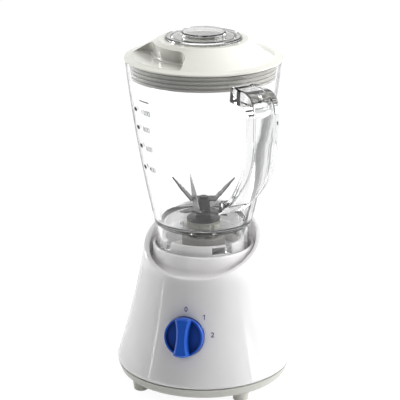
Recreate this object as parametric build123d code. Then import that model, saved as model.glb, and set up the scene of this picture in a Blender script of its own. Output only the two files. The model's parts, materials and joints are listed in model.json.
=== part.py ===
from build123d import *
import math
import os

os.makedirs("parts", exist_ok=True)

# Countertop blender. Lengths are in millimetres and angles in degrees.
# The origin is on the worktop under the motor axis, +Z is up and the knob faces -Y.
# An azimuth counts from the front (-Y) towards +X.

DIAGONAL = math.sqrt(0.5)  # sine and cosine of 45 degrees

# Clearances
running_fit = 0.05      # radial, a shaft in its bush
push_fit = 0.1          # radial, pieces of one body that push or screw together
lift_gap = 0.3          # flat seats of pieces that lift apart
turn_gap = 0.6          # radial, pieces that turn or lift past each other
allowance = 1.0         # a cutter runs past the face it opens, and joined shapes run into each other

# Feet and base plate
foot_height = 9.5
foot_radius = 8.0
foot_circle = 69.3
foot_taper = 1.0
foot_stem_radius = 3.0
foot_head_height = 1.6
corner_azimuths = (45, 135, 225, 315)
plate_rim_height = 9.5
plate_rim_inset = 1.9
plate_rim_draft = 2.6
plate_thickness = 2.5
plate_lip_height = 4.0
plate_lip_width = 2.0
vent_count = 16
vent_width = 3.0
vent_inner = 16.0
vent_outer = 44.0

# Base housing
joint_line = 0.4
base_radius = 84.5
neck_radius = 54.0
flare_height = 145.6
flare_power = 1.5
flare_steps = 7
housing_wall = 2.8
bottom_round = 3.0
lip_height = 142.5
lip_tilt = 20.8
lip_round = 1.3
well_half_width = 50.5
well_half_depth = 52.8
well_offset = 3.0
deck_height = 120.5
deck_thickness = 3.0
neck_ring_outer = 48.4
neck_ring_wall = 2.9
neck_ring_height = 138.0
neck_foot_round = 5.0
boss_outer = 39.0
boss_wall = 3.2
boss_height = 146.0
boss_floor_height = 130.0
edge_round = 1.0

# Lug windows round the boss, open upwards at one end so that the jug lifts out
window_count = 4
window_azimuth = 41.0
window_half_span = 15.0
window_low = 137.0
window_tall = 7.5
lug_half_span = 3.6
lug_reach = 3.0
lug_gap = 1.0

# Housing screws
screw_azimuths = (20, 160, 200, 340)
screw_circle = 66.0
screw_radius = 1.8
screw_length = 20.0
screw_end_gap = 1.0
screw_head_radius = 3.6
screw_head_height = 2.2
post_radius = 4.5
post_height = 36.0
rib_width = 3.0

# Cord inlet at the back
gland_height = 34.0
gland_radius = 5.5
gland_flange = 8.0
gland_flange_thickness = 2.0
gland_bore = 3.6
gland_pad_radius = 10.0

# Knob and rotary switch, on an axis square to the wall
knob_height = 67.7
knob_radius = 18.5
knob_skirt = 4.5
knob_pocket_depth = 3.6
knob_rim = 1.9
knob_bar_height = 12.5
knob_bar_end = 16.8
knob_bar_waist = 10.0
knob_round = 0.8
knob_bevel = 1.8
knob_nut_room = 3.0
knob_recess_depth = 2.9
switch_size = 30.0
switch_depth = 16.0
switch_corner = 3.0
switch_bush_radius = 4.5
switch_bush_reach = 2.0
switch_shaft_radius = 3.0
switch_shaft_depth = 12.0
switch_shaft_rise = 3.0
switch_nut_flats = 12.0
switch_nut_thickness = 1.6

# Motor
shaft_radius = 4.0
shaft_chamfer = 0.4
bush_wall = 3.0
bracket_thickness = 3.5
bracket_boss_wall = 2.5
fan_radius = 33.0
fan_height = 9.0
fan_hub_radius = 8.0
fan_disc = 1.6
fan_blade_count = 9
fan_blade_rake = 28.0
fan_floor_gap = 4.0
lower_bracket_height = 31.0
lower_boss_height = 8.0
commutator_radius = 10.0
commutator_height = 13.0
commutator_bars = 12
commutator_slot = 0.7
commutator_slot_depth = 1.0
winding_clearance = 1.5
stack_height = 30.0
stator_width = 56.0
stator_depth = 62.0
stator_corner = 8.0
yoke_thickness = 7.0
pole_width = 25.0
pole_shoe = 3.4
pole_shoe_span = 60.0
air_gap = 0.6
armature_radius = 16.0
winding_slots = 12
winding_bar_radius = 1.8
winding_circle = 12.4
winding_overhang = 7.0
winding_slot_mouth = 1.2
winding_bore_gap = 1.5
winding_round = 2.0
coil_overhang = 7.0
coil_gap = 0.5
coil_corner = 6.0
motor_bolt_radius = 2.0
spacer_radius = 4.2
bolt_head_radius = 3.6
bolt_head_height = 2.4
mount_circle = 41.0
mount_radius = 6.0
mount_height = 7.0
mount_waist_offset = 1.0
mount_waist_radius = 2.0
mount_post_length = 6.5
mount_screw_radius = 2.0
brush_width = 5.0
brush_tall = 6.0
brush_length = 12.0
brush_gap = 0.2
brush_spring_length = 7.0
brush_spring_radius = 2.2
brush_spring_wall = 0.8
holder_wall = 1.5
holder_stand_off = 3.0
shaft_seal_radius = 8.0
shaft_seal_lip = 1.6

# Coupling
coupling_radius = 20.3
coupling_bottom = 133.0
coupling_height = 13.0
coupling_floor = 4.5
coupling_wall = 4.3
coupling_teeth = 6
coupling_tooth_reach = 3.2
coupling_tooth_width = 4.0
coupling_tooth_drop = 1.0
star_reach = 14.0
star_arm_width = 6.0
star_hub_radius = 9.0
star_top = 146.2

# Jug
jug_rim_height = 317.0
jug_rim_radius = 72.7
jug_foot_radius = 46.6
jug_foot_height = 161.0
jug_bulge = 2.4
jug_rim_wall = 2.8
jug_foot_wall = 4.4
jug_floor_height = 160.0
jug_floor_thickness = 3.0
jug_inner_round = 7.0
skirt_gap = 1.1

# Handle, a strap in the plane of its azimuth
handle_azimuth = 45.0
handle_width = 26.5
handle_depth = 14.6
handle_round = 1.5
handle_top = 307.0
handle_bridge = 15.0
handle_stand_off = 37.3     # from the rim of the jug to the back of the handle
handle_corner = 17.0
handle_inner_corner = 8.0
handle_bow_height = 262.0   # the handle stands upright above this and bows in below it
handle_tail_height = 180.0
handle_gap_height = 195.0
handle_gap_floor = 7.4
handle_gap_round = 3.0

# Blade unit
blade_shaft_radius = 3.0
blade_bush_wall = 2.0
blade_bush_gap = 2.0
carrier_radius = 6.5
carrier_flange_radius = 16.0
carrier_flange = 2.0
carrier_stem_radius = 8.5
carrier_top = 166.5
gasket_thickness = 1.0
lock_nut_radius = 16.0
lock_nut_thickness = 5.4
lock_nut_grips = 8
lock_nut_notch = 2.4
blade_seal_height = 1.5
blade_thickness = 1.3
blade_gap = 0.4
spacer_height = 9.2
cap_nut_radius = 4.4
cap_nut_height = 1.8
upper_blade_azimuth = 104.5
upper_bend_radius = 11.8
upper_wing_length = 27.3
upper_wing_angle = 49.2
upper_wing_width = 12.4
cross_blade_azimuth = -23.5
cross_bend_radius = 9.5
cross_wing_length = 40.5
cross_wing_angle = 76.0
cross_wing_width = 6.6
cross_rear_length = 14.0
cross_rear_angle = 3.0
lower_blade_azimuth = 94.5
lower_bend_radius = 9.5
lower_wing_length = 14.0
lower_wing_angle = -14.0
lower_wing_width = 12.0
wing_shoulder = (0.7, 0.55)     # shares of half the width and of the length
wing_heel = (0.8, 0.45)
wing_tip_skew = 0.15
serrations = ((0.28, 0.35), (0.45, 0.5), (0.63, 0.55))   # shares of the length and of the width
serration_length = 5.0

# Lid, seal and measuring cap
lid_flange_radius = 73.2
lid_flange = 1.3
lid_brim_width = 6.2
lid_brim_rise = 1.6
lid_rise = 18.2
lid_crown_radius = 41.5
lid_wall = 2.5
lid_plug_wall = 2.0
lid_plug_depth = 14.0
scoop_azimuths = (-43.5, 136.5)
scoop_half_span = 40.0
scoop_wall_radius = 46.0
scoop_floor_rise = 0.4
scoop_corner = 11.0
scoop_floor_round = 2.0
cap_disc_radius = 35.4
cap_disc = 3.6
cap_proud = 3.0
cap_ledge = 5.0
cap_button_radius = 21.0
cap_button_height = 4.1
cap_wall = 2.0
cap_cup_depth = 29.0
cap_cup_draft = 1.6
collar_depth = 8.0
seal_thickness = 3.2
seal_depth = 15.5
seal_rib_count = 4
seal_rib_share = 0.55
seal_rib_depth = 1.4


def turned(points):
    """Turn a closed outline of (radius, height) points about the Z axis."""
    return revolve(Plane.XZ * make_face(Polyline(*points, close=True)), Axis.Z)


def turned_lines(*lines):
    """Turn a closed outline made of lines in (radius, height) about the Z axis."""
    return revolve(Plane.XZ * make_face(Curve() + list(lines)), Axis.Z)


def disc(radius, low, high):
    return Pos(0, 0, low) * extrude(Circle(radius), high - low)


def ring(inner, outer, low, high):
    return Pos(0, 0, low) * extrude(Circle(outer) - Circle(inner), high - low)


def peg(x, y, radius, low, high):
    return Pos(x, y, 0) * disc(radius, low, high)


def block(x, y, low, high):
    """Rectangle of two (from, to) pairs, raised from one height to another."""
    centre = Pos((x[0] + x[1]) / 2, (y[0] + y[1]) / 2, low)
    return centre * extrude(Rectangle(x[1] - x[0], y[1] - y[0]), high - low)


def arc_block(inner, outer, half_span, low, high):
    """Stretch of a ring, centred on the front."""
    reach = 2 * outer
    side = reach * math.tan(math.radians(half_span))
    wedge = make_face(Polyline((0, 0), (-side, -reach), (side, -reach), close=True))
    return ring(inner, outer, low, high) & (Pos(0, 0, low) * extrude(wedge, high - low))


def turn(azimuth):
    """Turn a shape made at the front to an azimuth."""
    return Rot(0, 0, azimuth)


def spot(azimuth, radius):
    """X and Y of a point at an azimuth."""
    return (radius * math.sin(math.radians(azimuth)), -radius * math.cos(math.radians(azimuth)))


def joined(shapes):
    return Part() + list(shapes)


def group(shapes):
    return Compound(list(shapes))


def save(shape, node):
    export_step(shape, "parts/" + node + ".step")


# Heights and radii that follow from the sizes above
plate_bottom = foot_height
plate_floor = plate_bottom + plate_thickness
plate_top = plate_bottom + plate_rim_height
body_bottom = plate_top + joint_line
flare_top = body_bottom + flare_height
lip_slope = math.tan(math.radians(lip_tilt))
deck_bottom = deck_height - deck_thickness
boss_inner = boss_outer - boss_wall
boss_floor_bottom = boss_floor_height - deck_thickness
neck_ring_inner = neck_ring_outer - neck_ring_wall
mouth_half_span = lug_half_span + math.degrees(lug_gap / boss_inner)
lug_azimuth = window_azimuth + window_half_span - mouth_half_span
post_top = plate_floor + post_height
plate_rim_radius = base_radius - plate_rim_inset


def flare(height):
    """Outer radius of the housing, a bell that widens to its foot."""
    share = (flare_top - height) / flare_height
    return neck_radius + (base_radius - neck_radius) * share ** flare_power


def bell(inset, low, high):
    """Solid inside the bell, drawn in by an inset, between two heights."""
    side = []
    for step in range(flare_steps + 1):
        height = low + (high - low) * step / flare_steps
        side.append((flare(height) - inset, height))
    base_line = Line((0, low), side[0])
    top_line = Line(side[-1], (0, high))
    axis_line = Line((0, high), (0, low))
    return turned_lines(base_line, Spline(*side), top_line, axis_line)


# Knob axis: square to the wall at the knob's height
knob_wall_radius = flare(knob_height)
knob_slope = (flare(knob_height - 1) - flare(knob_height + 1)) / 2
knob_lean = math.atan(knob_slope)
knob_normal = (0, -math.cos(knob_lean), math.sin(knob_lean))
knob_plane = Plane(origin=(0, -knob_wall_radius, knob_height), x_dir=(1, 0, 0), z_dir=knob_normal)
knob_recess_radius = knob_radius + turn_gap
switch_face = -knob_recess_depth - housing_wall
switch_shaft_top = knob_skirt + switch_shaft_rise

# Pad of the cord inlet: its face is flush with the foot of the wall below it
gland_pad_reach = flare(gland_height - gland_pad_radius)


def make_base_plate():
    lip_top = plate_top + plate_lip_height
    lip_outer = flare(lip_top) - housing_wall - turn_gap
    lip_inner = lip_outer - plate_lip_width
    bottom_radius = plate_rim_radius - plate_rim_draft
    plate = turned([
        (0, plate_bottom),
        (bottom_radius - plate_thickness, plate_bottom),
        (bottom_radius, plate_bottom + plate_thickness),
        (plate_rim_radius, plate_top),
        (lip_outer, plate_top),
        (lip_outer, lip_top),
        (lip_inner, lip_top),
        (lip_inner, plate_floor),
        (0, plate_floor),
    ])
    slot = SlotCenterToCenter(vent_outer - vent_inner, vent_width, rotation=90)
    slot_solid = Pos(0, -(vent_outer + vent_inner) / 2, plate_bottom) * extrude(slot, plate_thickness)
    cuts = [turn(index * 360 / vent_count) * slot_solid for index in range(vent_count)]
    for azimuth in corner_azimuths:
        cuts.append(peg(*spot(azimuth, foot_circle), foot_stem_radius + push_fit, plate_bottom, plate_floor))
    for azimuth in screw_azimuths:
        cuts.append(peg(*spot(azimuth, screw_circle), screw_radius + push_fit, plate_bottom, plate_floor))
    return plate - cuts


def make_feet():
    taper = foot_radius - foot_taper
    foot = turned([
        (0, 0),
        (taper - edge_round, 0),
        (taper, edge_round),
        (foot_radius, plate_bottom),
        (foot_stem_radius, plate_bottom),
        (foot_stem_radius, plate_floor),
        (foot_stem_radius + edge_round, plate_floor),
        (foot_stem_radius, plate_floor + foot_head_height),
        (0, plate_floor + foot_head_height),
    ])
    return group(Pos(*spot(azimuth, foot_circle), 0) * foot for azimuth in corner_azimuths)


def make_base_screws():
    tip = plate_bottom + screw_length
    screw = turned([
        (0, plate_bottom - screw_head_height),
        (screw_head_radius - edge_round, plate_bottom - screw_head_height),
        (screw_head_radius, plate_bottom - edge_round),
        (screw_head_radius, plate_bottom),
        (screw_radius, plate_bottom),
        (screw_radius, tip),
        (0, tip),
    ])
    return group(Pos(*spot(azimuth, screw_circle), 0) * screw for azimuth in screw_azimuths)


def make_housing():
    above_lip = flare_top + base_radius
    lip_plane = Plane(origin=(0, 0, lip_height), x_dir=(1, 0, 0), z_dir=(0, -lip_slope, 1))
    shell = fillet(bell(0, body_bottom, flare_top).edges().sort_by(Axis.Z)[0], bottom_round)
    shell -= lip_plane * extrude(Rectangle(4 * base_radius, 4 * base_radius), above_lip)
    well = Ellipse(well_half_width, well_half_depth)
    shell -= Pos(0, -well_offset, deck_height) * extrude(well, above_lip)
    lip_face = shell.faces().filter_by(lip_plane).sort_by(SortBy.AREA)[-1]
    shell = fillet(lip_face.edges(), lip_round)
    shell -= bell(housing_wall, body_bottom, deck_bottom)
    shell -= disc(boss_inner, deck_bottom, boss_floor_bottom)

    neck_ring = ring(neck_ring_inner, neck_ring_outer, deck_bottom, neck_ring_height)
    neck_ring = fillet(neck_ring.edges().group_by(Axis.Z)[-1], edge_round)
    foot_outer = neck_ring_outer + neck_foot_round
    foot_high = deck_height + neck_foot_round
    slack = neck_foot_round * (1 - DIAGONAL)
    foot_arc = ThreePointArc((neck_ring_outer, foot_high), (neck_ring_outer + slack, deck_height + slack),
                             (foot_outer, deck_height))
    foot_back = Polyline((foot_outer, deck_height), (foot_outer, deck_bottom), (neck_ring_inner, deck_bottom),
                         (neck_ring_inner, foot_high), (neck_ring_outer, foot_high))
    neck_foot = turned_lines(foot_arc, foot_back)
    boss = ring(boss_inner, boss_outer, deck_bottom, boss_height)
    boss = fillet(boss.edges().group_by(Axis.Z)[-1], edge_round)
    window_high = window_low + window_tall
    window_inner = boss_inner - allowance
    window_outer = boss_outer + allowance
    window = arc_block(window_inner, window_outer, window_half_span, window_low, window_high)
    mouth = arc_block(window_inner, window_outer, mouth_half_span, window_low, boss_height + allowance)
    mouth = turn(window_half_span - mouth_half_span) * mouth
    for index in range(window_count):
        boss -= turn(window_azimuth + index * 360 / window_count) * (window + mouth)
    floor = disc(boss_inner, boss_floor_bottom, boss_floor_height)

    inside = []
    post = peg(0, -screw_circle, post_radius, plate_floor, post_top)
    rib_low = plate_top + plate_lip_height + joint_line
    rib = block((-rib_width / 2, rib_width / 2), (-base_radius, -screw_circle), rib_low, post_top)
    for azimuth in screw_azimuths:
        inside.append(turn(azimuth) * (post + (rib & bell(housing_wall / 2, body_bottom, post_top))))
    for azimuth in corner_azimuths:
        x, y = spot(azimuth, mount_circle)
        inside.append(peg(x, y, mount_radius, deck_bottom - mount_post_length, deck_bottom))
    pad_plane = Plane(origin=(0, gland_pad_reach, gland_height), x_dir=(1, 0, 0), z_dir=(0, 1, 0))
    pad_depth = gland_pad_reach - flare(gland_height + gland_pad_radius) + housing_wall
    inside.append(pad_plane * extrude(Circle(gland_pad_radius), -pad_depth))
    knob_back = Pos(0, 0, switch_face) * extrude(Circle(knob_recess_radius + housing_wall), housing_wall)
    inside.append((knob_plane * knob_back) & bell(housing_wall / 2, body_bottom, deck_bottom))

    screw_hole_top = plate_bottom + screw_length + screw_end_gap
    housing = shell + neck_ring + neck_foot + boss + floor + inside
    recess = Pos(0, 0, -knob_recess_depth) * extrude(Circle(knob_recess_radius), 2 * knob_recess_depth)
    bush_hole = Pos(0, 0, switch_face) * extrude(Circle(switch_bush_radius + push_fit), housing_wall)
    cuts = [knob_plane * recess, knob_plane * bush_hole]
    cuts.append(pad_plane * extrude(Circle(gland_radius + push_fit), -base_radius / 2))
    cuts.append(disc(shaft_seal_radius + push_fit, boss_floor_bottom, boss_floor_height))
    for azimuth in screw_azimuths:
        x, y = spot(azimuth, screw_circle)
        cuts.append(peg(x, y, screw_radius + push_fit, plate_floor, screw_hole_top))
    for azimuth in corner_azimuths:
        x, y = spot(azimuth, mount_circle)
        hole_low = deck_bottom - mount_post_length
        cuts.append(peg(x, y, mount_screw_radius + push_fit, hole_low, deck_bottom))
    return housing - cuts


def make_gland():
    pad_plane = Plane(origin=(0, gland_pad_reach, gland_height), x_dir=(1, 0, 0), z_dir=(0, 1, 0))
    depth = gland_pad_reach - flare(gland_height + gland_pad_radius) + 2 * housing_wall
    body = extrude(Circle(gland_radius), -depth)
    flange = extrude(Circle(gland_flange), gland_flange_thickness)
    flange = fillet(flange.edges().group_by(Axis.Z)[-1], edge_round)
    bore = Pos(0, 0, -2 * depth) * extrude(Circle(gland_bore), 4 * depth)
    return pad_plane * (body + flange - bore)


save(make_base_plate(), "base_plate")
save(make_feet(), "rubber_feet")
save(make_base_screws(), "base_screws")
save(make_housing(), "base_housing")
save(make_gland(), "cord_gland")


# Rotor: shaft, armature, commutator, fan and drive coupling
shaft_bottom = plate_floor + fan_floor_gap
shaft_top = coupling_bottom + coupling_floor
commutator_bottom = lower_bracket_height + lower_boss_height + winding_clearance
commutator_top = commutator_bottom + commutator_height
stack_bottom = commutator_top + winding_clearance + winding_overhang
stack_top = stack_bottom + stack_height
winding_bottom = stack_bottom - winding_overhang
winding_top = stack_top + winding_overhang


def make_motor_shaft():
    return chamfer(disc(shaft_radius, shaft_bottom, shaft_top).edges(), shaft_chamfer)


def make_armature_core():
    core = ring(shaft_radius + push_fit, armature_radius, stack_bottom, stack_top)
    slot = peg(0, -winding_circle, winding_bar_radius + push_fit, stack_bottom, stack_top)
    half = winding_slot_mouth / 2
    mouth = block((-half, half), (-armature_radius - allowance, -winding_circle), stack_bottom, stack_top)
    cuts = [turn(index * 360 / winding_slots) * (slot + mouth) for index in range(winding_slots)]
    return core - cuts


def make_armature_windings():
    reach = winding_circle + winding_bar_radius
    inner = shaft_radius + winding_bore_gap
    shapes = []
    for low, high in ((winding_bottom, stack_bottom - coil_gap), (stack_top + coil_gap, winding_top)):
        bundle = ring(inner, reach, low, high)
        outer_edges = bundle.edges().filter_by(GeomType.CIRCLE).sort_by(SortBy.RADIUS)[-2:]
        shapes.append(fillet(outer_edges, winding_round))
    bar = peg(0, -winding_circle, winding_bar_radius, stack_bottom - allowance, stack_top + allowance)
    shapes += [turn(index * 360 / winding_slots) * bar for index in range(winding_slots)]
    return joined(shapes)


def make_commutator():
    body = ring(shaft_radius + push_fit, commutator_radius, commutator_bottom, commutator_top)
    half = commutator_slot / 2
    depth = (-commutator_radius - allowance, -commutator_radius + commutator_slot_depth)
    groove = block((-half, half), depth, commutator_bottom, commutator_top)
    return body - [turn((index + 0.5) * 360 / commutator_bars) * groove for index in range(commutator_bars)]


def make_fan():
    top = shaft_bottom + fan_height
    hub = disc(fan_hub_radius, shaft_bottom, top)
    plate = disc(fan_radius, top - fan_disc, top)
    blade_length = fan_radius - fan_hub_radius
    blade = block((-fan_disc / 2, fan_disc / 2), (-blade_length, 0), shaft_bottom, top - fan_disc / 2)
    blade = Pos(0, -fan_hub_radius + fan_disc, 0) * Rot(0, 0, fan_blade_rake) * blade
    blades = [turn(index * 360 / fan_blade_count) * blade for index in range(fan_blade_count)]
    return joined([hub, plate] + blades) - disc(shaft_radius + push_fit, shaft_bottom, top)


def make_drive_coupling():
    top = coupling_bottom + coupling_height
    floor_top = coupling_bottom + coupling_floor
    socket = coupling_radius - coupling_wall
    cup = disc(coupling_radius, coupling_bottom, top)
    cup = fillet(cup.edges(), edge_round)
    cup -= disc(socket, floor_top, top)
    half = coupling_tooth_width / 2
    depth = (-socket - allowance, -socket + coupling_tooth_reach)
    tooth = block((-half, half), depth, floor_top - allowance, top - coupling_tooth_drop)
    teeth = [turn((index + 0.5) * 360 / coupling_teeth) * tooth for index in range(coupling_teeth)]
    return joined([cup] + teeth) - disc(shaft_radius + push_fit, coupling_bottom, shaft_top)


save(make_motor_shaft(), "motor_shaft")
save(make_armature_core(), "armature_core")
save(make_armature_windings(), "armature_windings")
save(make_commutator(), "commutator")
save(make_fan(), "cooling_fan")
save(make_drive_coupling(), "drive_coupling")

# Fixed parts of the motor
bore_radius = armature_radius + air_gap
bush_radius = shaft_radius + running_fit + bush_wall
boss_radius = bush_radius + bracket_boss_wall
mount_low = deck_bottom - mount_post_length - mount_height
upper_bracket_low = mount_low - bracket_thickness
lower_bracket_top = lower_bracket_height + bracket_thickness
lower_boss_top = lower_bracket_height + lower_boss_height
upper_boss_top = upper_bracket_low + lower_boss_height
window_half_width = stator_width / 2 - yoke_thickness
window_half_depth = stator_depth / 2 - yoke_thickness
bolt_x = stator_width / 2 - yoke_thickness / 2
brush_middle = commutator_bottom + commutator_height / 2
brush_start = commutator_radius + brush_gap
brush_end = brush_start + brush_length
holder_start = brush_start + holder_stand_off
holder_end = brush_end + brush_spring_length + holder_wall
holder_low = brush_middle - brush_tall / 2 - push_fit - holder_wall
holder_high = brush_middle + brush_tall / 2 + push_fit + holder_wall
holder_half_width = brush_width / 2 + push_fit + holder_wall


def make_stator():
    outline = RectangleRounded(stator_width, stator_depth, stator_corner)
    window = Rectangle(2 * window_half_width, 2 * window_half_depth)
    poles = Rectangle(pole_width, stator_depth - yoke_thickness)
    shoe_reach = 2 * bore_radius
    side = shoe_reach * math.tan(math.radians(pole_shoe_span))
    wedge = make_face(Polyline((0, 0), (-side, -shoe_reach), (side, -shoe_reach), close=True))
    shoes = Circle(bore_radius + pole_shoe) & (wedge + Rot(0, 0, 180) * wedge)
    sheet = outline - window + poles + shoes - Circle(bore_radius)
    sheet -= [Pos(side * bolt_x, 0) * Circle(motor_bolt_radius + push_fit) for side in (-1, 1)]
    return Pos(0, 0, stack_bottom) * extrude(sheet, stack_height)


def make_field_coils():
    near = bore_radius + pole_shoe + coil_gap
    far = window_half_depth - coil_gap
    tall = stack_height + 2 * coil_overhang
    outer = RectangleRounded(2 * (window_half_width - coil_gap), tall, coil_corner)
    inner = Rectangle(pole_width + 2 * coil_gap, stack_height + 2 * coil_gap)
    middle = (stack_bottom + stack_top) / 2
    plane = Plane(origin=(0, -near, middle), x_dir=(1, 0, 0), z_dir=(0, -1, 0))
    coil = plane * extrude(outer - inner, far - near)
    return group([coil, turn(180) * coil])


def make_upper_bracket():
    low = upper_bracket_low
    plate = disc(bolt_x + spacer_radius + edge_round, low, mount_low)
    arm = block((-mount_radius, mount_radius), (-mount_circle, 0), low, mount_low)
    end = peg(0, -mount_circle, mount_radius, low, mount_low)
    shapes = [plate, disc(boss_radius, low, upper_boss_top)]
    shapes += [turn(azimuth) * (arm + end) for azimuth in corner_azimuths]
    shapes += [peg(side * bolt_x, 0, spacer_radius, stack_top, low + allowance) for side in (-1, 1)]
    cuts = [disc(bush_radius + push_fit, low, upper_boss_top)]
    cuts += [peg(side * bolt_x, 0, motor_bolt_radius + push_fit, stack_top, mount_low) for side in (-1, 1)]
    for azimuth in corner_azimuths:
        cuts.append(peg(*spot(azimuth, mount_circle), mount_screw_radius + push_fit, low, mount_low))
    return joined(shapes) - cuts


def make_lower_bracket():
    low = lower_bracket_height
    top = lower_bracket_top
    long_arm = bolt_x + spacer_radius + edge_round
    shapes = [block((-long_arm, long_arm), (-boss_radius, boss_radius), low, top)]
    shapes.append(block((-boss_radius, boss_radius), (-holder_end, holder_end), low, top))
    shapes.append(disc(boss_radius, low, lower_boss_top))
    shapes += [peg(side * bolt_x, 0, spacer_radius, low, stack_bottom) for side in (-1, 1)]
    rest = block((-holder_half_width, holder_half_width), (-holder_end, -holder_start), low, holder_low)
    shapes += [rest, turn(180) * rest]
    cuts = [disc(bush_radius + push_fit, low, lower_boss_top)]
    cuts += [peg(side * bolt_x, 0, motor_bolt_radius + push_fit, low, stack_bottom) for side in (-1, 1)]
    return joined(shapes) - cuts


def make_motor_bearings():
    bore = shaft_radius + running_fit
    lower = ring(bore, bush_radius, lower_bracket_height, lower_boss_top)
    upper = ring(bore, bush_radius, upper_bracket_low, upper_boss_top)
    return group([lower, upper])


def make_motor_bolts():
    low = lower_bracket_height - bolt_head_height
    bolt = disc(bolt_head_radius, low, lower_bracket_height)
    bolt = fillet(bolt.edges().group_by(Axis.Z)[0], edge_round)
    bolt += disc(motor_bolt_radius, lower_bracket_height, mount_low)
    return group(Pos(side * bolt_x, 0, 0) * bolt for side in (-1, 1))


def make_motor_mounts():
    hole = mount_screw_radius + push_fit
    mount = ring(hole, mount_radius, mount_low, mount_low + mount_height)
    groove = Torus(mount_radius + mount_waist_offset, mount_waist_radius)
    waist = Pos(0, 0, mount_low + mount_height / 2) * groove
    return group(Pos(*spot(azimuth, mount_circle), 0) * (mount - waist) for azimuth in corner_azimuths)


def make_mount_screws():
    low = upper_bracket_low
    screw = disc(bolt_head_radius, low - bolt_head_height, low)
    screw = fillet(screw.edges().group_by(Axis.Z)[0], edge_round)
    screw += disc(mount_screw_radius, low, deck_bottom - screw_end_gap)
    return group(Pos(*spot(azimuth, mount_circle), 0) * screw for azimuth in corner_azimuths)


def mirrored_pair(shape):
    return group([shape, turn(180) * shape])


def make_brush_holders():
    half = holder_half_width
    body = block((-half, half), (-holder_end, -holder_start), holder_low, holder_high)
    channel_half = brush_width / 2 + push_fit
    body -= block((-channel_half, channel_half), (-holder_end + holder_wall, -holder_start),
                  holder_low + holder_wall, holder_high - holder_wall)
    return mirrored_pair(body)


def make_carbon_brushes():
    half = brush_width / 2
    low = brush_middle - brush_tall / 2
    brush = block((-half, half), (-brush_end, -commutator_radius + allowance), low, low + brush_tall)
    return mirrored_pair(brush - disc(brush_start, low, low + brush_tall))


def make_brush_springs():
    plane = Plane(origin=(0, -brush_end, brush_middle), x_dir=(1, 0, 0), z_dir=(0, -1, 0))
    section = Circle(brush_spring_radius) - Circle(brush_spring_radius - brush_spring_wall)
    return mirrored_pair(plane * extrude(section, brush_spring_length))


def make_shaft_seal():
    bore = shaft_radius + running_fit
    body = ring(bore, shaft_seal_radius, boss_floor_bottom, boss_floor_height)
    lip_radius = (shaft_seal_radius + bore) / 2
    return body + ring(bore, lip_radius, boss_floor_height, boss_floor_height + shaft_seal_lip)


save(make_stator(), "stator_stack")
save(make_field_coils(), "field_coils")
save(make_upper_bracket(), "upper_bearing_bracket")
save(make_lower_bracket(), "lower_bearing_bracket")
save(make_motor_bearings(), "motor_bearings")
save(make_motor_bolts(), "motor_bolts")
save(make_motor_mounts(), "motor_mounts")
save(make_mount_screws(), "mount_screws")
save(make_brush_holders(), "brush_holders")
save(make_carbon_brushes(), "carbon_brushes")
save(make_brush_springs(), "brush_springs")
save(make_shaft_seal(), "shaft_seal")


# Knob and rotary switch, drawn on the knob axis: zero is the outer wall
def make_rotary_switch():
    outline = RectangleRounded(switch_size, switch_size, switch_corner)
    body = Pos(0, 0, switch_face - switch_depth) * extrude(outline, switch_depth)
    bush_top = -knob_recess_depth + switch_bush_reach
    bush = Pos(0, 0, switch_face) * extrude(Circle(switch_bush_radius), bush_top - switch_face)
    bore_low = switch_face - switch_shaft_depth
    bore = Pos(0, 0, bore_low) * extrude(Circle(switch_shaft_radius + running_fit), bush_top - bore_low)
    return knob_plane * (body + bush - bore)


def make_switch_nut():
    nut = RegularPolygon(switch_nut_flats / 2, 6, major_radius=False) - Circle(switch_bush_radius + push_fit)
    return knob_plane * (Pos(0, 0, -knob_recess_depth) * extrude(nut, switch_nut_thickness))


def make_switch_shaft():
    low = switch_face - switch_shaft_depth + lift_gap
    return knob_plane * (Pos(0, 0, low) * extrude(Circle(switch_shaft_radius), switch_shaft_top - low))


def make_knob():
    low = -knob_recess_depth + lift_gap
    drum = Pos(0, 0, low) * extrude(Circle(knob_radius), knob_skirt - low)
    drum = fillet(drum.edges().group_by(Axis.Z)[-1], knob_round)
    pocket_circle = Circle(knob_radius - knob_rim)
    pocket = Pos(0, 0, knob_skirt - knob_pocket_depth) * extrude(pocket_circle, knob_bar_height)
    end = knob_bar_end / 2
    waist = knob_bar_waist / 2
    reach = knob_radius + allowance
    right = ThreePointArc((end, -reach), (waist, 0), (end, reach))
    left = ThreePointArc((-end, reach), (-waist, 0), (-end, -reach))
    caps = [Line((end, reach), (-end, reach)), Line((-end, -reach), (end, -reach))]
    outline = make_face(Curve() + [right, left] + caps) & Circle(knob_radius)
    bar = Pos(0, 0, low) * extrude(outline, knob_bar_height - low)
    bar = chamfer(bar.edges().group_by(Axis.Z)[-1], knob_bevel)
    hollow_radius = switch_nut_flats / 2 + knob_nut_room
    hollow = Pos(0, 0, low) * extrude(Circle(hollow_radius), -low)
    bore_top = switch_shaft_top + push_fit
    bore = Pos(0, 0, low) * extrude(Circle(switch_shaft_radius + push_fit), bore_top - low)
    return knob_plane * (drum - pocket + bar - hollow - bore)


save(make_rotary_switch(), "rotary_switch")
save(make_switch_nut(), "switch_nut")
save(make_switch_shaft(), "switch_shaft")
save(make_knob(), "speed_knob")

# Jug with its handle
jug_outer_middle = (jug_foot_radius + jug_rim_radius) / 2 + jug_bulge
jug_middle_height = (jug_foot_height + jug_rim_height) / 2
jug_inner_rim = jug_rim_radius - jug_rim_wall
jug_inner_foot = jug_foot_radius - jug_foot_wall
jug_inner_low = jug_floor_height + jug_inner_round
jug_inner_middle = (jug_inner_foot + jug_inner_rim) / 2 + jug_bulge
jug_inner_middle_height = (jug_inner_low + jug_rim_height) / 2
jug_floor_bottom = jug_floor_height - jug_floor_thickness
skirt_outer = neck_ring_inner - skirt_gap
skirt_inner = boss_outer + turn_gap
skirt_bottom = deck_height + lift_gap
handle_underside = handle_top - handle_bridge
handle_reach = jug_rim_radius + handle_stand_off


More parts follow.
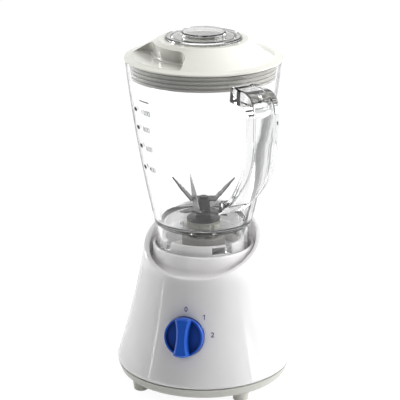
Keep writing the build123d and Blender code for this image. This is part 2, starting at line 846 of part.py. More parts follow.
def jug_radius(height):
    """Outer radius of the jug wall."""
    share = (height - jug_foot_height) / (jug_rim_height - jug_foot_height)
    taper = jug_foot_radius + (jug_rim_radius - jug_foot_radius) * share
    return taper + 4 * jug_bulge * share * (1 - share)


def jug_bore(height):
    """Inner radius of the jug wall."""
    share = (height - jug_inner_low) / (jug_rim_height - jug_inner_low)
    taper = jug_inner_foot + (jug_inner_rim - jug_inner_foot) * share
    return taper + 4 * jug_bulge * share * (1 - share)


def jug_hollow():
    slack = jug_inner_round * (1 - DIAGONAL)
    corner = (jug_inner_foot - slack, jug_floor_height + slack)
    floor_edge = (jug_inner_foot - jug_inner_round, jug_floor_height)
    wall = ThreePointArc((jug_inner_rim, jug_rim_height), (jug_inner_middle, jug_inner_middle_height),
                         (jug_inner_foot, jug_inner_low))
    bend = ThreePointArc((jug_inner_foot, jug_inner_low), corner, floor_edge)
    floor = Line(floor_edge, (0, jug_floor_height))
    axis_line = Line((0, jug_floor_height), (0, jug_rim_height))
    top = Line((0, jug_rim_height), (jug_inner_rim, jug_rim_height))
    return turned_lines(wall, bend, floor, axis_line, top)


def jug_outside():
    foot_round = jug_foot_radius - skirt_outer
    corner = (skirt_outer + foot_round * DIAGONAL, jug_foot_height - foot_round * DIAGONAL)
    corner_low = (skirt_outer, jug_foot_height - foot_round)
    wall = ThreePointArc((jug_foot_radius, jug_foot_height), (jug_outer_middle, jug_middle_height),
                         (jug_rim_radius, jug_rim_height))
    bend = ThreePointArc(corner_low, corner, (jug_foot_radius, jug_foot_height))
    skirt = Polyline((0, skirt_bottom), (skirt_outer, skirt_bottom), corner_low)
    top = Polyline((jug_rim_radius, jug_rim_height), (0, jug_rim_height), (0, skirt_bottom))
    return turned_lines(skirt, bend, wall, top)


def handle_side(foot, reach, corner, top):
    """One side of the handle: a parabola from its foot, an upright and a round corner to a top line."""
    middle = (reach, (foot[1] + handle_bow_height) / 2)
    upright = (reach, handle_bow_height)
    bend_low = (reach, top - corner)
    bend = (reach - corner * (1 - DIAGONAL), top - corner * (1 - DIAGONAL))
    end = (reach - corner, top)
    return [Bezier(foot, middle, upright), Line(upright, bend_low), ThreePointArc(bend_low, bend, end)], end


def make_handle():
    root = jug_foot_radius - jug_foot_wall
    outer_foot = (jug_radius(handle_tail_height) - jug_foot_wall / 2, handle_tail_height)
    inner_foot = (jug_radius(handle_gap_height) + handle_gap_floor, handle_gap_height)
    outer, outer_end = handle_side(outer_foot, handle_reach, handle_corner, handle_top)
    inner_reach = handle_reach - handle_depth
    inner, inner_end = handle_side(inner_foot, inner_reach, handle_inner_corner, handle_underside)
    ends = [
        Polyline(outer_end, (root, handle_top), (root, handle_underside), inner_end),
        Polyline(outer_foot, (root, handle_tail_height), (root, handle_gap_height), inner_foot),
    ]
    strap = extrude(Plane.XZ * make_face(Curve() + outer + inner + ends), handle_width / 2, both=True)
    gap_edge = strap.edges().filter_by(Axis.Y).sort_by_distance((inner_foot[0], 0, inner_foot[1]))[0]
    strap = fillet(gap_edge, handle_gap_round)
    rims = strap.faces().filter_by(Plane.XZ).edges()
    strap = fillet([rim for rim in rims if rim.center().X > jug_radius(handle_gap_height)], handle_round)
    return turn(handle_azimuth - 90) * strap


def make_jug():
    hollow = jug_hollow()
    shell = jug_outside() - disc(skirt_inner, skirt_bottom, jug_floor_bottom)
    lug_low = window_low + lug_gap
    lug_high = window_low + window_tall - lug_gap
    lug = arc_block(skirt_inner - lug_reach, skirt_inner + lug_gap, lug_half_span, lug_low, lug_high)
    lugs = [turn(lug_azimuth + index * 360 / window_count) * lug for index in range(window_count)]
    hole = disc(carrier_stem_radius + push_fit, jug_floor_bottom, jug_floor_height)
    return joined([shell, make_handle()]) - hollow - hole + lugs


save(make_jug(), "jug")

# Blade unit: the carrier is clamped in the jug floor and the blades turn on its shaft
flange_low = jug_floor_height + gasket_thickness
flange_high = flange_low + carrier_flange
nut_low = jug_floor_bottom - lock_nut_thickness
blade_bore = blade_shaft_radius + running_fit
blade_bush_radius = blade_bore + blade_bush_wall
lower_blade_low = carrier_top + blade_seal_height + blade_gap
cross_blade_low = lower_blade_low + blade_thickness
spacer_low = cross_blade_low + blade_thickness
upper_blade_low = spacer_low + spacer_height
cap_nut_low = upper_blade_low + blade_thickness
star_low = shaft_top + blade_gap


def make_carrier():
    bore = blade_bush_radius + push_fit
    neck = flange_high + carrier_flange
    return turned([
        (bore, nut_low),
        (carrier_stem_radius, nut_low),
        (carrier_stem_radius, flange_low),
        (carrier_flange_radius, flange_low),
        (carrier_flange_radius, flange_high - edge_round),
        (carrier_flange_radius - edge_round, flange_high),
        (carrier_radius + carrier_flange, flange_high),
        (carrier_radius, neck),
        (carrier_radius, carrier_top),
        (bore, carrier_top),
    ])


def make_gasket():
    gasket_radius = carrier_flange_radius - edge_round
    return ring(carrier_stem_radius + push_fit, gasket_radius, jug_floor_height, flange_low)


def make_lock_nut():
    nut = ring(carrier_stem_radius + push_fit, lock_nut_radius, nut_low, jug_floor_bottom)
    notch = peg(0, -lock_nut_radius - allowance, lock_nut_notch, nut_low, jug_floor_bottom)
    return nut - [turn(index * 360 / lock_nut_grips) * notch for index in range(lock_nut_grips)]


def make_blade_bushes():
    length = (carrier_top - nut_low - blade_bush_gap) / 2
    lower = ring(blade_bore, blade_bush_radius, nut_low, nut_low + length)
    upper = ring(blade_bore, blade_bush_radius, carrier_top - length, carrier_top)
    return group([lower, upper])


def make_blade_seal():
    return ring(blade_bore, carrier_radius - push_fit, carrier_top, carrier_top + blade_seal_height)


def make_blade_shaft():
    shaft = disc(blade_shaft_radius, star_low, cap_nut_low + cap_nut_height / 2)
    return chamfer(shaft.edges(), shaft_chamfer)


def make_spacer():
    return ring(blade_shaft_radius + push_fit, carrier_radius, spacer_low, upper_blade_low)


def make_cap_nut():
    top = cap_nut_low + cap_nut_height
    nut = disc(cap_nut_radius, cap_nut_low, top)
    nut = fillet(nut.edges().group_by(Axis.Z)[-1], edge_round)
    return nut - disc(blade_shaft_radius + push_fit, cap_nut_low, cap_nut_low + cap_nut_height / 2 + push_fit)


def make_wing(bend_radius, width, length, angle, serrated):
    """Pointed blade wing at the front, bent up from the centre plate by an angle."""
    half = width / 2
    shoulder = (half * wing_shoulder[0], -length * wing_shoulder[1])
    heel = (-half * wing_heel[0], -length * wing_heel[1])
    tip = (-half * wing_tip_skew, -length)
    outline = make_face(Polyline((-half, 0), (half, 0), shoulder, tip, heel, close=True))
    if serrated:
        outside = -half - allowance
        for along, deep in serrations:
            place = -length * along
            foot = (outside, place - serration_length)
            outline -= make_face(Polyline((outside, place), (-half + deep * width, place), foot, close=True))
    sheet = Pos(0, 0, -blade_thickness / 2) * extrude(outline, blade_thickness)
    hinge = Rot(0, 90, 0) * Pos(0, 0, -half) * extrude(Circle(blade_thickness / 2), width)
    return Pos(0, -bend_radius, blade_thickness / 2) * (Rot(-angle, 0, 0) * sheet + hinge)


def make_blade(low, azimuth, bend_radius, width, first, second):
    """Blade strip of two wings: each wing is (length, angle, serrated)."""
    plate = block((-width / 2, width / 2), (-bend_radius, bend_radius), 0, blade_thickness)
    left = make_wing(bend_radius, width, *first)
    right = turn(180) * make_wing(bend_radius, width, *second)
    shapes = [plate, left, right]
    strip = joined(shapes) - disc(blade_shaft_radius + push_fit, 0, blade_thickness)
    return Pos(0, 0, low) * turn(azimuth) * strip


def make_driven_coupling():
    half = star_arm_width / 2
    arm = block((-half, half), (-star_reach, 0), star_low, star_top)
    arms = [turn(index * 360 / coupling_teeth) * arm for index in range(coupling_teeth)]
    star = joined([disc(star_hub_radius, star_low, star_top)] + arms)
    return star - disc(blade_shaft_radius + push_fit, star_low, star_top)


save(make_carrier(), "blade_carrier")
save(make_gasket(), "carrier_gasket")
save(make_lock_nut(), "carrier_lock_nut")
save(make_blade_bushes(), "blade_bushes")
save(make_blade_seal(), "blade_shaft_seal")
save(make_blade_shaft(), "blade_shaft")
save(make_spacer(), "blade_spacer")
save(make_cap_nut(), "blade_cap_nut")
upper_wing = (upper_wing_length, upper_wing_angle)
save(make_blade(upper_blade_low, upper_blade_azimuth, upper_bend_radius, upper_wing_width,
                (*upper_wing, False), (*upper_wing, True)), "upper_blade")
save(make_blade(cross_blade_low, cross_blade_azimuth, cross_bend_radius, cross_wing_width,
                (cross_wing_length, cross_wing_angle, False),
                (cross_rear_length, cross_rear_angle, False)), "cross_blade")
lower_wing = (lower_wing_length, lower_wing_angle, False)
save(make_blade(lower_blade_low, lower_blade_azimuth, lower_bend_radius, lower_wing_width,
                lower_wing, lower_wing), "lower_blade")
save(make_driven_coupling(), "driven_coupling")

# Lid, seal and measuring cap
lid_bottom = jug_rim_height + lift_gap
lid_flange_top = lid_bottom + lid_flange
lid_brim_radius = lid_flange_radius - lid_brim_width
lid_brim_top = lid_flange_top + lid_brim_rise
lid_crown_height = lid_bottom + lid_rise
cap_low = lid_crown_height + cap_proud - cap_disc
cap_hole = cap_disc_radius + turn_gap
cup_radius = cap_disc_radius - cap_ledge
ledge_hole = cup_radius + turn_gap
seal_bottom = lid_bottom - seal_depth
plug_outer = jug_bore(seal_bottom) - turn_gap - seal_thickness
plug_inner = plug_outer - lid_plug_wall
ledge_top = cap_low - lift_gap


def make_lid():
    outside = turned([
        (0, lid_bottom),
        (lid_flange_radius, lid_bottom),
        (lid_flange_radius, lid_flange_top),
        (lid_brim_radius, lid_brim_top),
        (lid_crown_radius, lid_crown_height),
        (0, lid_crown_height),
    ])
    outside = fillet(outside.edges().filter_by(GeomType.CIRCLE).sort_by(Axis.Z)[-1], edge_round)
    inside = turned([
        (0, lid_bottom),
        (plug_inner, lid_bottom),
        (lid_crown_radius, lid_crown_height - lid_wall),
        (0, lid_crown_height - lid_wall),
    ])
    scoop_floor = lid_brim_top + scoop_floor_rise
    sky = lid_crown_height + lid_rise
    reach = 2 * lid_flange_radius
    spare = math.degrees(lid_wall / scoop_wall_radius)
    scoop = arc_block(scoop_wall_radius, reach, scoop_half_span, scoop_floor, sky)
    scoop = fillet(scoop.edges().filter_by(Axis.Z).sort_by(Axis.Y)[-2:], scoop_corner)
    scoop = fillet(scoop.edges().group_by(Axis.Z)[0].sort_by(Axis.Y)[1:], scoop_floor_round)
    backing_low = scoop_floor - lid_wall
    backing = arc_block(scoop_wall_radius - lid_wall, reach, scoop_half_span + spare, backing_low, sky)
    for azimuth in scoop_azimuths:
        outside -= turn(azimuth) * scoop
        inside -= turn(azimuth) * backing
    collar = ring(ledge_hole, cap_hole, ledge_top - collar_depth, lid_crown_height - lid_wall)
    plug = ring(plug_inner, plug_outer, lid_bottom - lid_plug_depth, lid_flange_top)
    lid = (outside - inside) + collar + plug
    lid += ring(ledge_hole, cap_hole + lid_wall, ledge_top - lid_wall, lid_crown_height - lid_wall)
    return lid - disc(cap_hole, ledge_top, sky) - disc(ledge_hole, ledge_top - 2 * collar_depth, sky)


def make_lid_seal():
    pitch = seal_depth / seal_rib_count
    root = plug_outer + push_fit
    points = [(root, seal_bottom)]
    for index in range(seal_rib_count):
        low = seal_bottom + index * pitch
        rib_top = low + pitch * seal_rib_share
        reach = jug_bore(low) - turn_gap
        groove = reach - seal_rib_depth
        points += [(reach, low), (reach, rib_top), (groove, rib_top), (groove, low + pitch)]
    points.append((root, lid_bottom))
    return turned(points)


def make_cap():
    disc_top = cap_low + cap_disc
    button_top = disc_top + cap_button_height
    cup_low = cap_low - cap_cup_depth
    cup_foot = cup_radius - cap_cup_draft
    button_inner = cap_button_radius - cap_wall
    shape = turned([
        (0, button_top),
        (cap_button_radius - edge_round, button_top),
        (cap_button_radius, button_top - edge_round),
        (cap_button_radius, disc_top),
        (cap_disc_radius - edge_round, disc_top),
        (cap_disc_radius, disc_top - edge_round),
        (cap_disc_radius, cap_low),
        (cup_radius, cap_low),
        (cup_foot, cup_low),
        (cup_foot - cap_wall, cup_low),
        (cup_radius - cap_wall, disc_top - cap_wall),
        (button_inner, disc_top - cap_wall),
        (button_inner, button_top - cap_wall),
        (0, button_top - cap_wall),
    ])
    return shape


save(make_lid(), "lid")
save(make_lid_seal(), "lid_seal")
save(make_cap(), "measuring_cap")
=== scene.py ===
import json
import math

import bpy
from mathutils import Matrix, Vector
from mathutils.bvhtree import BVHTree


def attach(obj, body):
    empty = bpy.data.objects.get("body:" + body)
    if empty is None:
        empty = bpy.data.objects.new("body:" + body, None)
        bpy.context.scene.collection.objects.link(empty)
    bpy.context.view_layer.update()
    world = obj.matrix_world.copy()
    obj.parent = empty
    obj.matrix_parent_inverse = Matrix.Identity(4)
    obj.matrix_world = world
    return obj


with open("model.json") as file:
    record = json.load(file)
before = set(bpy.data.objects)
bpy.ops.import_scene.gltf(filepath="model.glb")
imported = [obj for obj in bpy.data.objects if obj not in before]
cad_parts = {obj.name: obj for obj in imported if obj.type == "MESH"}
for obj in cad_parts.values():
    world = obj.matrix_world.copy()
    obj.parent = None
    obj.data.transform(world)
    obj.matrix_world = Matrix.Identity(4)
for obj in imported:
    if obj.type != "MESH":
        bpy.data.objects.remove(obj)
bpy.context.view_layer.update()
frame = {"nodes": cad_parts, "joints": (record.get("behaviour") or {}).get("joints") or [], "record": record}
nodes = frame["nodes"]
MM = 0.001

# Camera, fitted to the ellipses of the rim, the lip and the base
IMAGE = 400
FOCAL_PIXELS = 1740
SENSOR = 36.0
CAMERA_AZIMUTH = 14.5
CAMERA_DISTANCE = 1565 * MM
CAMERA_HEIGHT = 698 * MM
CAMERA_PITCH = 18.35
AXIS_PIXEL = 203.4


def add_camera():
    """The photograph's viewing angle."""
    data = bpy.data.cameras.new("camera")
    data.sensor_width = SENSOR
    data.lens = FOCAL_PIXELS / IMAGE * SENSOR
    data.shift_x = (IMAGE / 2 - AXIS_PIXEL) / IMAGE
    data.clip_end = 30
    camera = bpy.data.objects.new("camera", data)
    azimuth = math.radians(CAMERA_AZIMUTH)
    across, depth = CAMERA_DISTANCE * math.sin(azimuth), -CAMERA_DISTANCE * math.cos(azimuth)
    camera.location = (across, depth, CAMERA_HEIGHT)
    camera.rotation_euler = (math.radians(90 - CAMERA_PITCH), 0, azimuth)
    bpy.context.scene.collection.objects.link(camera)
    bpy.context.scene.camera = camera


# Materials
class Shader:
    """A material under construction: its node tree, its principled shader and short ways to add nodes."""

    def __init__(self, name, colour, roughness, **sockets):
        self.material = bpy.data.materials.new(name)
        self.material.use_nodes = True
        self.tree = self.material.node_tree
        self.shader = self.tree.nodes["Principled BSDF"]
        self.shader.inputs["Base Color"].default_value = (*colour, 1)
        self.shader.inputs["Roughness"].default_value = roughness
        for socket, value in sockets.items():
            self.shader.inputs[socket.replace("_", " ")].default_value = value

    def add(self, kind, **values):
        node = self.tree.nodes.new(kind)
        for key, value in values.items():
            if key in node.inputs:
                node.inputs[key].default_value = value
            else:
                setattr(node, key, value)
        return node

    def link(self, source, target):
        self.tree.links.new(source, target)

    def noise(self, scale, detail=3, stretch=(1, 1, 1)):
        place = self.add("ShaderNodeTexCoord")
        mapping = self.add("ShaderNodeMapping")
        mapping.inputs["Scale"].default_value = stretch
        noise = self.add("ShaderNodeTexNoise", Scale=scale, Detail=detail)
        self.link(place.outputs["Object"], mapping.inputs["Vector"])
        self.link(mapping.outputs["Vector"], noise.inputs["Vector"])
        return noise.outputs["Fac"]

    def spread(self, source, low, high, socket):
        """Map a 0 to 1 pattern to a range and feed a socket."""
        mapped = self.add("ShaderNodeMapRange")
        mapped.inputs["To Min"].default_value = low
        mapped.inputs["To Max"].default_value = high
        self.link(source, mapped.inputs["Value"])
        self.link(mapped.outputs["Result"], self.shader.inputs[socket])

    def tint(self, source, first, second):
        ramp = self.add("ShaderNodeValToRGB")
        ramp.color_ramp.elements[0].position = 0.3
        ramp.color_ramp.elements[1].position = 0.7
        ramp.color_ramp.elements[0].color = (*first, 1)
        ramp.color_ramp.elements[1].color = (*second, 1)
        self.link(source, ramp.inputs["Fac"])
        self.link(ramp.outputs["Color"], self.shader.inputs["Base Color"])

    def bump(self, source, distance, strength=0.3):
        bump = self.add("ShaderNodeBump", Strength=strength, Distance=distance)
        self.link(source, bump.inputs["Height"])
        self.link(bump.outputs["Normal"], self.shader.inputs["Normal"])


def plastic(name, colour, roughness, grain, depth, **sockets):
    """Moulded plastic: a faint mottle, uneven gloss and a fine surface grain."""
    made = Shader(name, colour, roughness, **sockets)
    mottle = made.noise(18)
    made.tint(mottle, tuple(v * 0.97 for v in colour), tuple(min(1, v * 1.02) for v in colour))
    made.spread(made.noise(90), roughness * 0.85, roughness * 1.2, "Roughness")
    made.bump(made.noise(grain, 2), depth)
    return made.material


def steel(name, colour, roughness, stretch):
    """Rolled or turned steel: fine lines one way, with uneven gloss."""
    made = Shader(name, colour, roughness, Metallic=1.0)
    lines = made.noise(420, 2, stretch)
    made.tint(lines, tuple(v * 0.9 for v in colour), tuple(min(1, v * 1.08) for v in colour))
    made.spread(lines, roughness * 0.7, roughness * 1.4, "Roughness")
    made.bump(lines, 0.00004, 0.25)
    return made.material


CLEAR_IOR = 1.52
CLEAR_TINT = (0.985, 0.992, 0.992)
CLEAR_SHADOW = (0.95, 0.95, 0.95, 1)
CLEAR_BODY = (0.1, 0.12, 0.12, 1)
CLEAR_DENSITY = 9


def clear(name, roughness):
    """Clear moulded plastic, with a trace of tint and haze along its flow. It casts hardly any shadow."""
    made = Shader(name, (1, 1, 1), roughness, Transmission_Weight=1.0, IOR=CLEAR_IOR)
    flow = made.noise(26, 2, (1, 1, 0.3))
    made.tint(flow, CLEAR_TINT, (1, 1, 1))
    made.spread(flow, 0, roughness, "Roughness")
    path = made.add("ShaderNodeLightPath")
    lit = made.add("ShaderNodeMath", operation="MAXIMUM")
    open_way = made.add("ShaderNodeBsdfTransparent", Color=CLEAR_SHADOW)
    mix = made.add("ShaderNodeMixShader")
    made.link(path.outputs["Is Shadow Ray"], lit.inputs[0])
    made.link(path.outputs["Is Diffuse Ray"], lit.inputs[1])
    made.link(lit.outputs[0], mix.inputs["Fac"])
    made.link(made.shader.outputs["BSDF"], mix.inputs[1])
    made.link(open_way.outputs["BSDF"], mix.inputs[2])
    made.link(mix.outputs["Shader"], made.tree.nodes["Material Output"].inputs["Surface"])
    body = made.add("ShaderNodeVolumeAbsorption", Color=CLEAR_BODY, Density=CLEAR_DENSITY)
    made.link(body.outputs["Volume"], made.tree.nodes["Material Output"].inputs["Volume"])
    return made.material


# Painted shade in hollows: how open a place must be before the darkening of the colour fades out
HOLLOW_OPENNESS = (0.4, 0.95)     # from the deepest hollow to open ground


def paint_hollow_shade(material, reach, least):
    """Paints shade into a material's colour inside hollows within a reach, down to its least share."""
    tree = material.node_tree
    base = tree.nodes["Principled BSDF"].inputs["Base Color"]
    source = base.links[0].from_socket
    hollow = tree.nodes.new("ShaderNodeAmbientOcclusion")
    hollow.inputs["Distance"].default_value = reach
    depth = tree.nodes.new("ShaderNodeMapRange")
    depth.inputs["From Min"].default_value, depth.inputs["From Max"].default_value = HOLLOW_OPENNESS
    depth.inputs["To Min"].default_value = least
    deepen = tree.nodes.new("ShaderNodeVectorMath")
    deepen.operation = "SCALE"
    tree.links.new(hollow.outputs["AO"], depth.inputs["Value"])
    tree.links.new(source, deepen.inputs[0])
    tree.links.new(depth.outputs["Result"], deepen.inputs["Scale"])
    tree.links.new(deepen.outputs["Vector"], base)
    return material


def print_ink(name, colour):
    """Matt printed ink, a little thin in places."""
    made = Shader(name, colour, 0.8, Specular_IOR_Level=0.05)
    made.tint(made.noise(700, 2), tuple(v * 0.8 for v in colour), tuple(min(1, v * 1.3) for v in colour))
    return made.material


materials = {
    "white_plastic": plastic("white_plastic", (0.94, 0.916, 0.92), 0.08, 900, 0.00001,
                             Subsurface_Weight=0.6, Subsurface_Radius=(1, 1, 1), Subsurface_Scale=0.012),
    "grey_plastic": plastic("grey_plastic", (0.56, 0.56, 0.52), 0.42, 1400, 0.00005),
    "foot_rubber": plastic("foot_rubber", (0.58, 0.57, 0.52), 0.6, 1600, 0.0001),
    # The knob's blue carries painted shade in its pockets
    "blue_plastic": paint_hollow_shade(plastic("blue_plastic", (0.014, 0.1, 0.55), 0.2, 1500, 0.00004,
                                   Specular_IOR_Level=0.4), 0.014, 0.45),
    "clear_plastic": clear("clear_plastic", 0.008),
    "seal_rubber": plastic("seal_rubber", (0.42, 0.41, 0.38), 0.5, 1300, 0.00008),
    "nut_plastic": plastic("nut_plastic", (0.45, 0.45, 0.38), 0.45, 1300, 0.00005),
    "black_rubber": plastic("black_rubber", (0.03, 0.03, 0.03), 0.65, 1500, 0.0001),
    "dark_plastic": plastic("dark_plastic", (0.26, 0.25, 0.24), 0.45, 1500, 0.00006),
    "carbon": plastic("carbon", (0.025, 0.025, 0.025), 0.7, 2200, 0.0001),
    # The blade steel is near black: painted shade for the dark reflections the blades show
    "blade_steel": steel("blade_steel", (0.025, 0.025, 0.024), 0.2, (1, 1, 12)),
    "machine_steel": steel("machine_steel", (0.48, 0.48, 0.5), 0.3, (1, 1, 8)),
    "lamination_steel": steel("lamination_steel", (0.2, 0.21, 0.23), 0.5, (0.05, 0.05, 6)),
    "copper": steel("copper", (0.6, 0.28, 0.13), 0.35, (1, 1, 9)),
    "die_cast": steel("die_cast", (0.6, 0.6, 0.61), 0.5, (1, 1, 1)),
    "bronze": steel("bronze", (0.45, 0.31, 0.15), 0.45, (1, 1, 1)),
}

# Nodes whose colour differs a little from the rest of their slot, some with painted shade or painted
# reflection
special = {
    # The lid is cream, with painted shade in its scoops and under the cap
    "lid": paint_hollow_shade(plastic("cream_plastic", (0.82, 0.815, 0.75), 0.16, 900, 0.00001), 0.03, 0.45),
    # The cross blade's steel is a lighter copy of the blade steel: painted reflection for its bright
    # highlights
    "cross_blade": steel("blade_steel_painted_reflection", (0.3, 0.3, 0.3), 0.15, (1, 1, 12)),
}


def dress_nodes():
    """Gives each node the material of its slot, or its own."""
    for part in frame["record"]["subparts"]:
        node = nodes[part["node"]]
        node.data.materials.clear()
        node.data.materials.append(special.get(part["node"], materials[part["material_slot"]]))


# Marks
INK = print_ink("mark_ink", (0.07, 0.085, 0.22))
DARK_INK = print_ink("graduation_ink", (0.02, 0.02, 0.025))
LABEL_INK = print_ink("label_ink", (0.14, 0.14, 0.15))
INK_DEPTH = 0.06 * MM
CAP_SHARE = 0.73        # of a letter's size
BOLDNESS = 0.012        # of the height
DIGIT_BOLDNESS = 0.02


def letters(text, height, boldness=BOLDNESS):
    """Corner points and faces of flat text that starts at the origin, with capitals of that height."""
    curve = bpy.data.curves.new("letters", "FONT")
    curve.body = text
    curve.size = height / CAP_SHARE
    curve.offset = height * boldness
    flat = bpy.data.objects.new("letters", curve)
    bpy.context.scene.collection.objects.link(flat)
    graph = bpy.context.evaluated_depsgraph_get()
    mesh = bpy.data.meshes.new_from_object(flat.evaluated_get(graph))
    points = [vertex.co.copy() for vertex in mesh.vertices]
    faces = [tuple(face.vertices) for face in mesh.polygons]
    bpy.data.objects.remove(flat)
    return points, faces


def flagged_one(height):
    """A figure one with a clear flag, for small sizes."""
    corners = ((0.28, 0), (0.43, 0), (0.43, 1), (0.28, 1), (0.02, 0.78), (0.02, 0.63), (0.28, 0.83))
    return [Vector((x * height, y * height, 0)) for x, y in corners], [(0, 1, 2, 3), (3, 4, 5, 6)]


def dot(across, up, sides=20):
    """An oval round the origin, as a fan with a middle point so that it can follow a round wall."""
    turns = [2 * math.pi * index / sides for index in range(sides)]
    rim = [Vector((across * math.cos(t), up * math.sin(t), 0)) for t in turns]
    return [Vector((0, 0, 0))] + rim, [(0, side + 1, (side + 1) % sides + 1) for side in range(sides)]


def line(length, height, steps=12):
    """A flat line that starts at the origin, in steps so that it can follow a round wall."""
    points = [Vector((length * step / steps, up, 0)) for step in range(steps + 1) for up in (0, height)]
    return points, [(2 * step, 2 * step + 2, 2 * step + 3, 2 * step + 1) for step in range(steps)]


def print_on(name, node, shape, place, ink, body):
    """Lays a flat shape on a node: place gives a start outside and a way inwards for each point."""
    points, faces = shape
    mesh = nodes[node].data
    skin = BVHTree.FromPolygons([v.co for v in mesh.vertices], [p.vertices for p in mesh.polygons])
    laid = []
    for point in points:
        start, inwards = place(point)
        hit, normal = skin.ray_cast(start, inwards)[:2]
        laid.append(hit + normal * INK_DEPTH)
    printed = bpy.data.meshes.new(name)
    printed.from_pydata(laid, [], faces)
    printed.materials.append(ink)
    piece = bpy.data.objects.new(name, printed)
    bpy.context.scene.collection.objects.link(piece)
    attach(piece, body)


def joint(name):
    return next(found for found in frame["joints"] if found["name"] == name)


DIAL_RADIUS = 25.9 * MM
DIAL_ANGLES = (0, 41, 82)
DIGIT_HEIGHT = 4.7 * MM
DIAL_START = 30 * MM        # in front of the housing


def add_dial():
    """The numbers round the knob, upright, on the sloping front."""
    turn = joint("knob_turn")
    axis = Vector(turn["axis"]).normalized()
    centre = Vector(turn["pos_m"])
    right = Vector((1, 0, 0))
    up = right.cross(axis)
    for angle, text in zip(DIAL_ANGLES, ("0", "1", "2")):
        angle = math.radians(angle)
        middle = centre + DIAL_RADIUS * (math.sin(angle) * right + math.cos(angle) * up)
        if text == "1":
            points, faces = flagged_one(DIGIT_HEIGHT)
        else:
            points, faces = letters(text, DIGIT_HEIGHT, DIGIT_BOLDNESS)
        width = max(p.x for p in points) + min(p.x for p in points)
        shift = Vector((width / 2, DIGIT_HEIGHT / 2, 0))

        def place(point, middle=middle, shift=shift):
            flat = point - shift
            return middle + flat.x * right + flat.y * up - axis * DIAL_START, axis

        print_on("dial_" + text, "base_housing", (points, faces), place, INK, "base")


# Height of each dot, its number, and the rise from the dot's middle to the number's foot, in millimetres
GRADUATIONS = ((275.75, "1000", -2.3), (258.25, "800", -1.3), (240.25, "600", -2.3), (219.25, "400", -1.8))
SCALE_RADIUS = 68 * MM      # at which widths round the jug are true
SCALE_START = 120 * MM      # clear of the wall
DOT_AZIMUTH = -52
DOT_HALVES = (3.4 * MM, 2.0 * MM)
LABEL_AZIMUTH = -43
LABEL_HEIGHT = 5.2 * MM
TOP_LINE = (14 * MM, 1.2 * MM)
TOP_LINE_HEIGHT = 286 * MM


def round_jug(azimuth, height):
    """A place on the jug for flat points: across runs round it and up runs up it."""
    def place(point):
        angle = math.radians(azimuth) + point.x / SCALE_RADIUS
        out = Vector((math.sin(angle), -math.cos(angle), 0))
        return out * SCALE_START + Vector((0, 0, height + point.y)), -out
    return place


def add_graduation():
    """The jug's scale: a dot and a number for each mark, and a plain line above them."""
    for height, text, rise in GRADUATIONS:
        place = round_jug(DOT_AZIMUTH, height * MM)
        print_on("dot_" + text, "jug", dot(*DOT_HALVES), place, DARK_INK, "jug")
        place = round_jug(LABEL_AZIMUTH, (height + rise) * MM)
        print_on("label_" + text, "jug", letters(text, LABEL_HEIGHT), place, LABEL_INK, "jug")
    place = round_jug(LABEL_AZIMUTH, TOP_LINE_HEIGHT)
    print_on("top_line", "jug", line(*TOP_LINE), place, LABEL_INK, "jug")


# Stage
WORLD_LIGHT = 0.28
BACKDROP_AZIMUTH = 194.5
DARK_FRONT = 0.12
DARK_BEHIND = 0.01
FLOOR_REACH = 6
FLOOR_GLOW = 1.1
FLOOR_GLOW_THROUGH = 1.25
FLOOR_GLOW_SHARE = 0.85     # the rest is lit floor, which keeps the shadow
# Dark flags on the floor, seen through thick or single clear pieces only, not through the jug's two walls
THICK_FACES = 5.5
SINGLE_FACES = 2.5
FLAG_REACH = 0.7
FLAG_END = -66
# Degrees round from the backdrop, and whiteness
FLAG_STOPS = (
    (-180, 1), (-114, 1), (-111, 0), (-46, 0), (-43, 1), (-25.5, 1), (-24, 0), (-12, 0), (-11, 1), (180, 1),
)


def card(name, size, place, aim, strength, colour=(1, 1, 1)):
    """A soft box: an area lamp that faces a point."""
    data = bpy.data.lights.new(name, "AREA")
    data.shape = "RECTANGLE"
    data.size, data.size_y = size
    data.energy = strength
    data.color = colour
    lamp = bpy.data.objects.new(name, data)
    lamp.location = place
    lamp.rotation_euler = (Vector(aim) - Vector(place)).to_track_quat("-Z", "Y").to_euler()
    bpy.context.scene.collection.objects.link(lamp)
    return lamp


def join(tree, kind, values, links):
    """A node's first output: values go by socket number or property name, links by socket number."""
    node = tree.nodes.new(kind)
    for key, value in values.items():
        if isinstance(key, int):
            node.inputs[key].default_value = value
        else:
            setattr(node, key, value)
    for socket, source in links.items():
        tree.links.new(source, node.inputs[socket])
    return node.outputs[0]


def calculate(tree, operation, first, second):
    """A number worked out from a socket and from a second socket or a plain number."""
    if isinstance(second, (int, float)):
        return join(tree, "ShaderNodeMath", {"operation": operation, 1: second}, {0: first})
    return join(tree, "ShaderNodeMath", {"operation": operation}, {0: first, 1: second})


def measure(tree, operation, source, other=(0, 0, 0)):
    """A number worked out from a vector: its length, or its reach along another vector."""
    node = tree.nodes.new("ShaderNodeVectorMath")
    node.operation = operation
    node.inputs[1].default_value = other
    tree.links.new(source, node.inputs[0])
    return node.outputs["Value"]


def towards(azimuth):
    """The level direction at an azimuth, which is 0 in front of the blender."""
    azimuth = math.radians(azimuth)
    return math.sin(azimuth), -math.cos(azimuth), 0


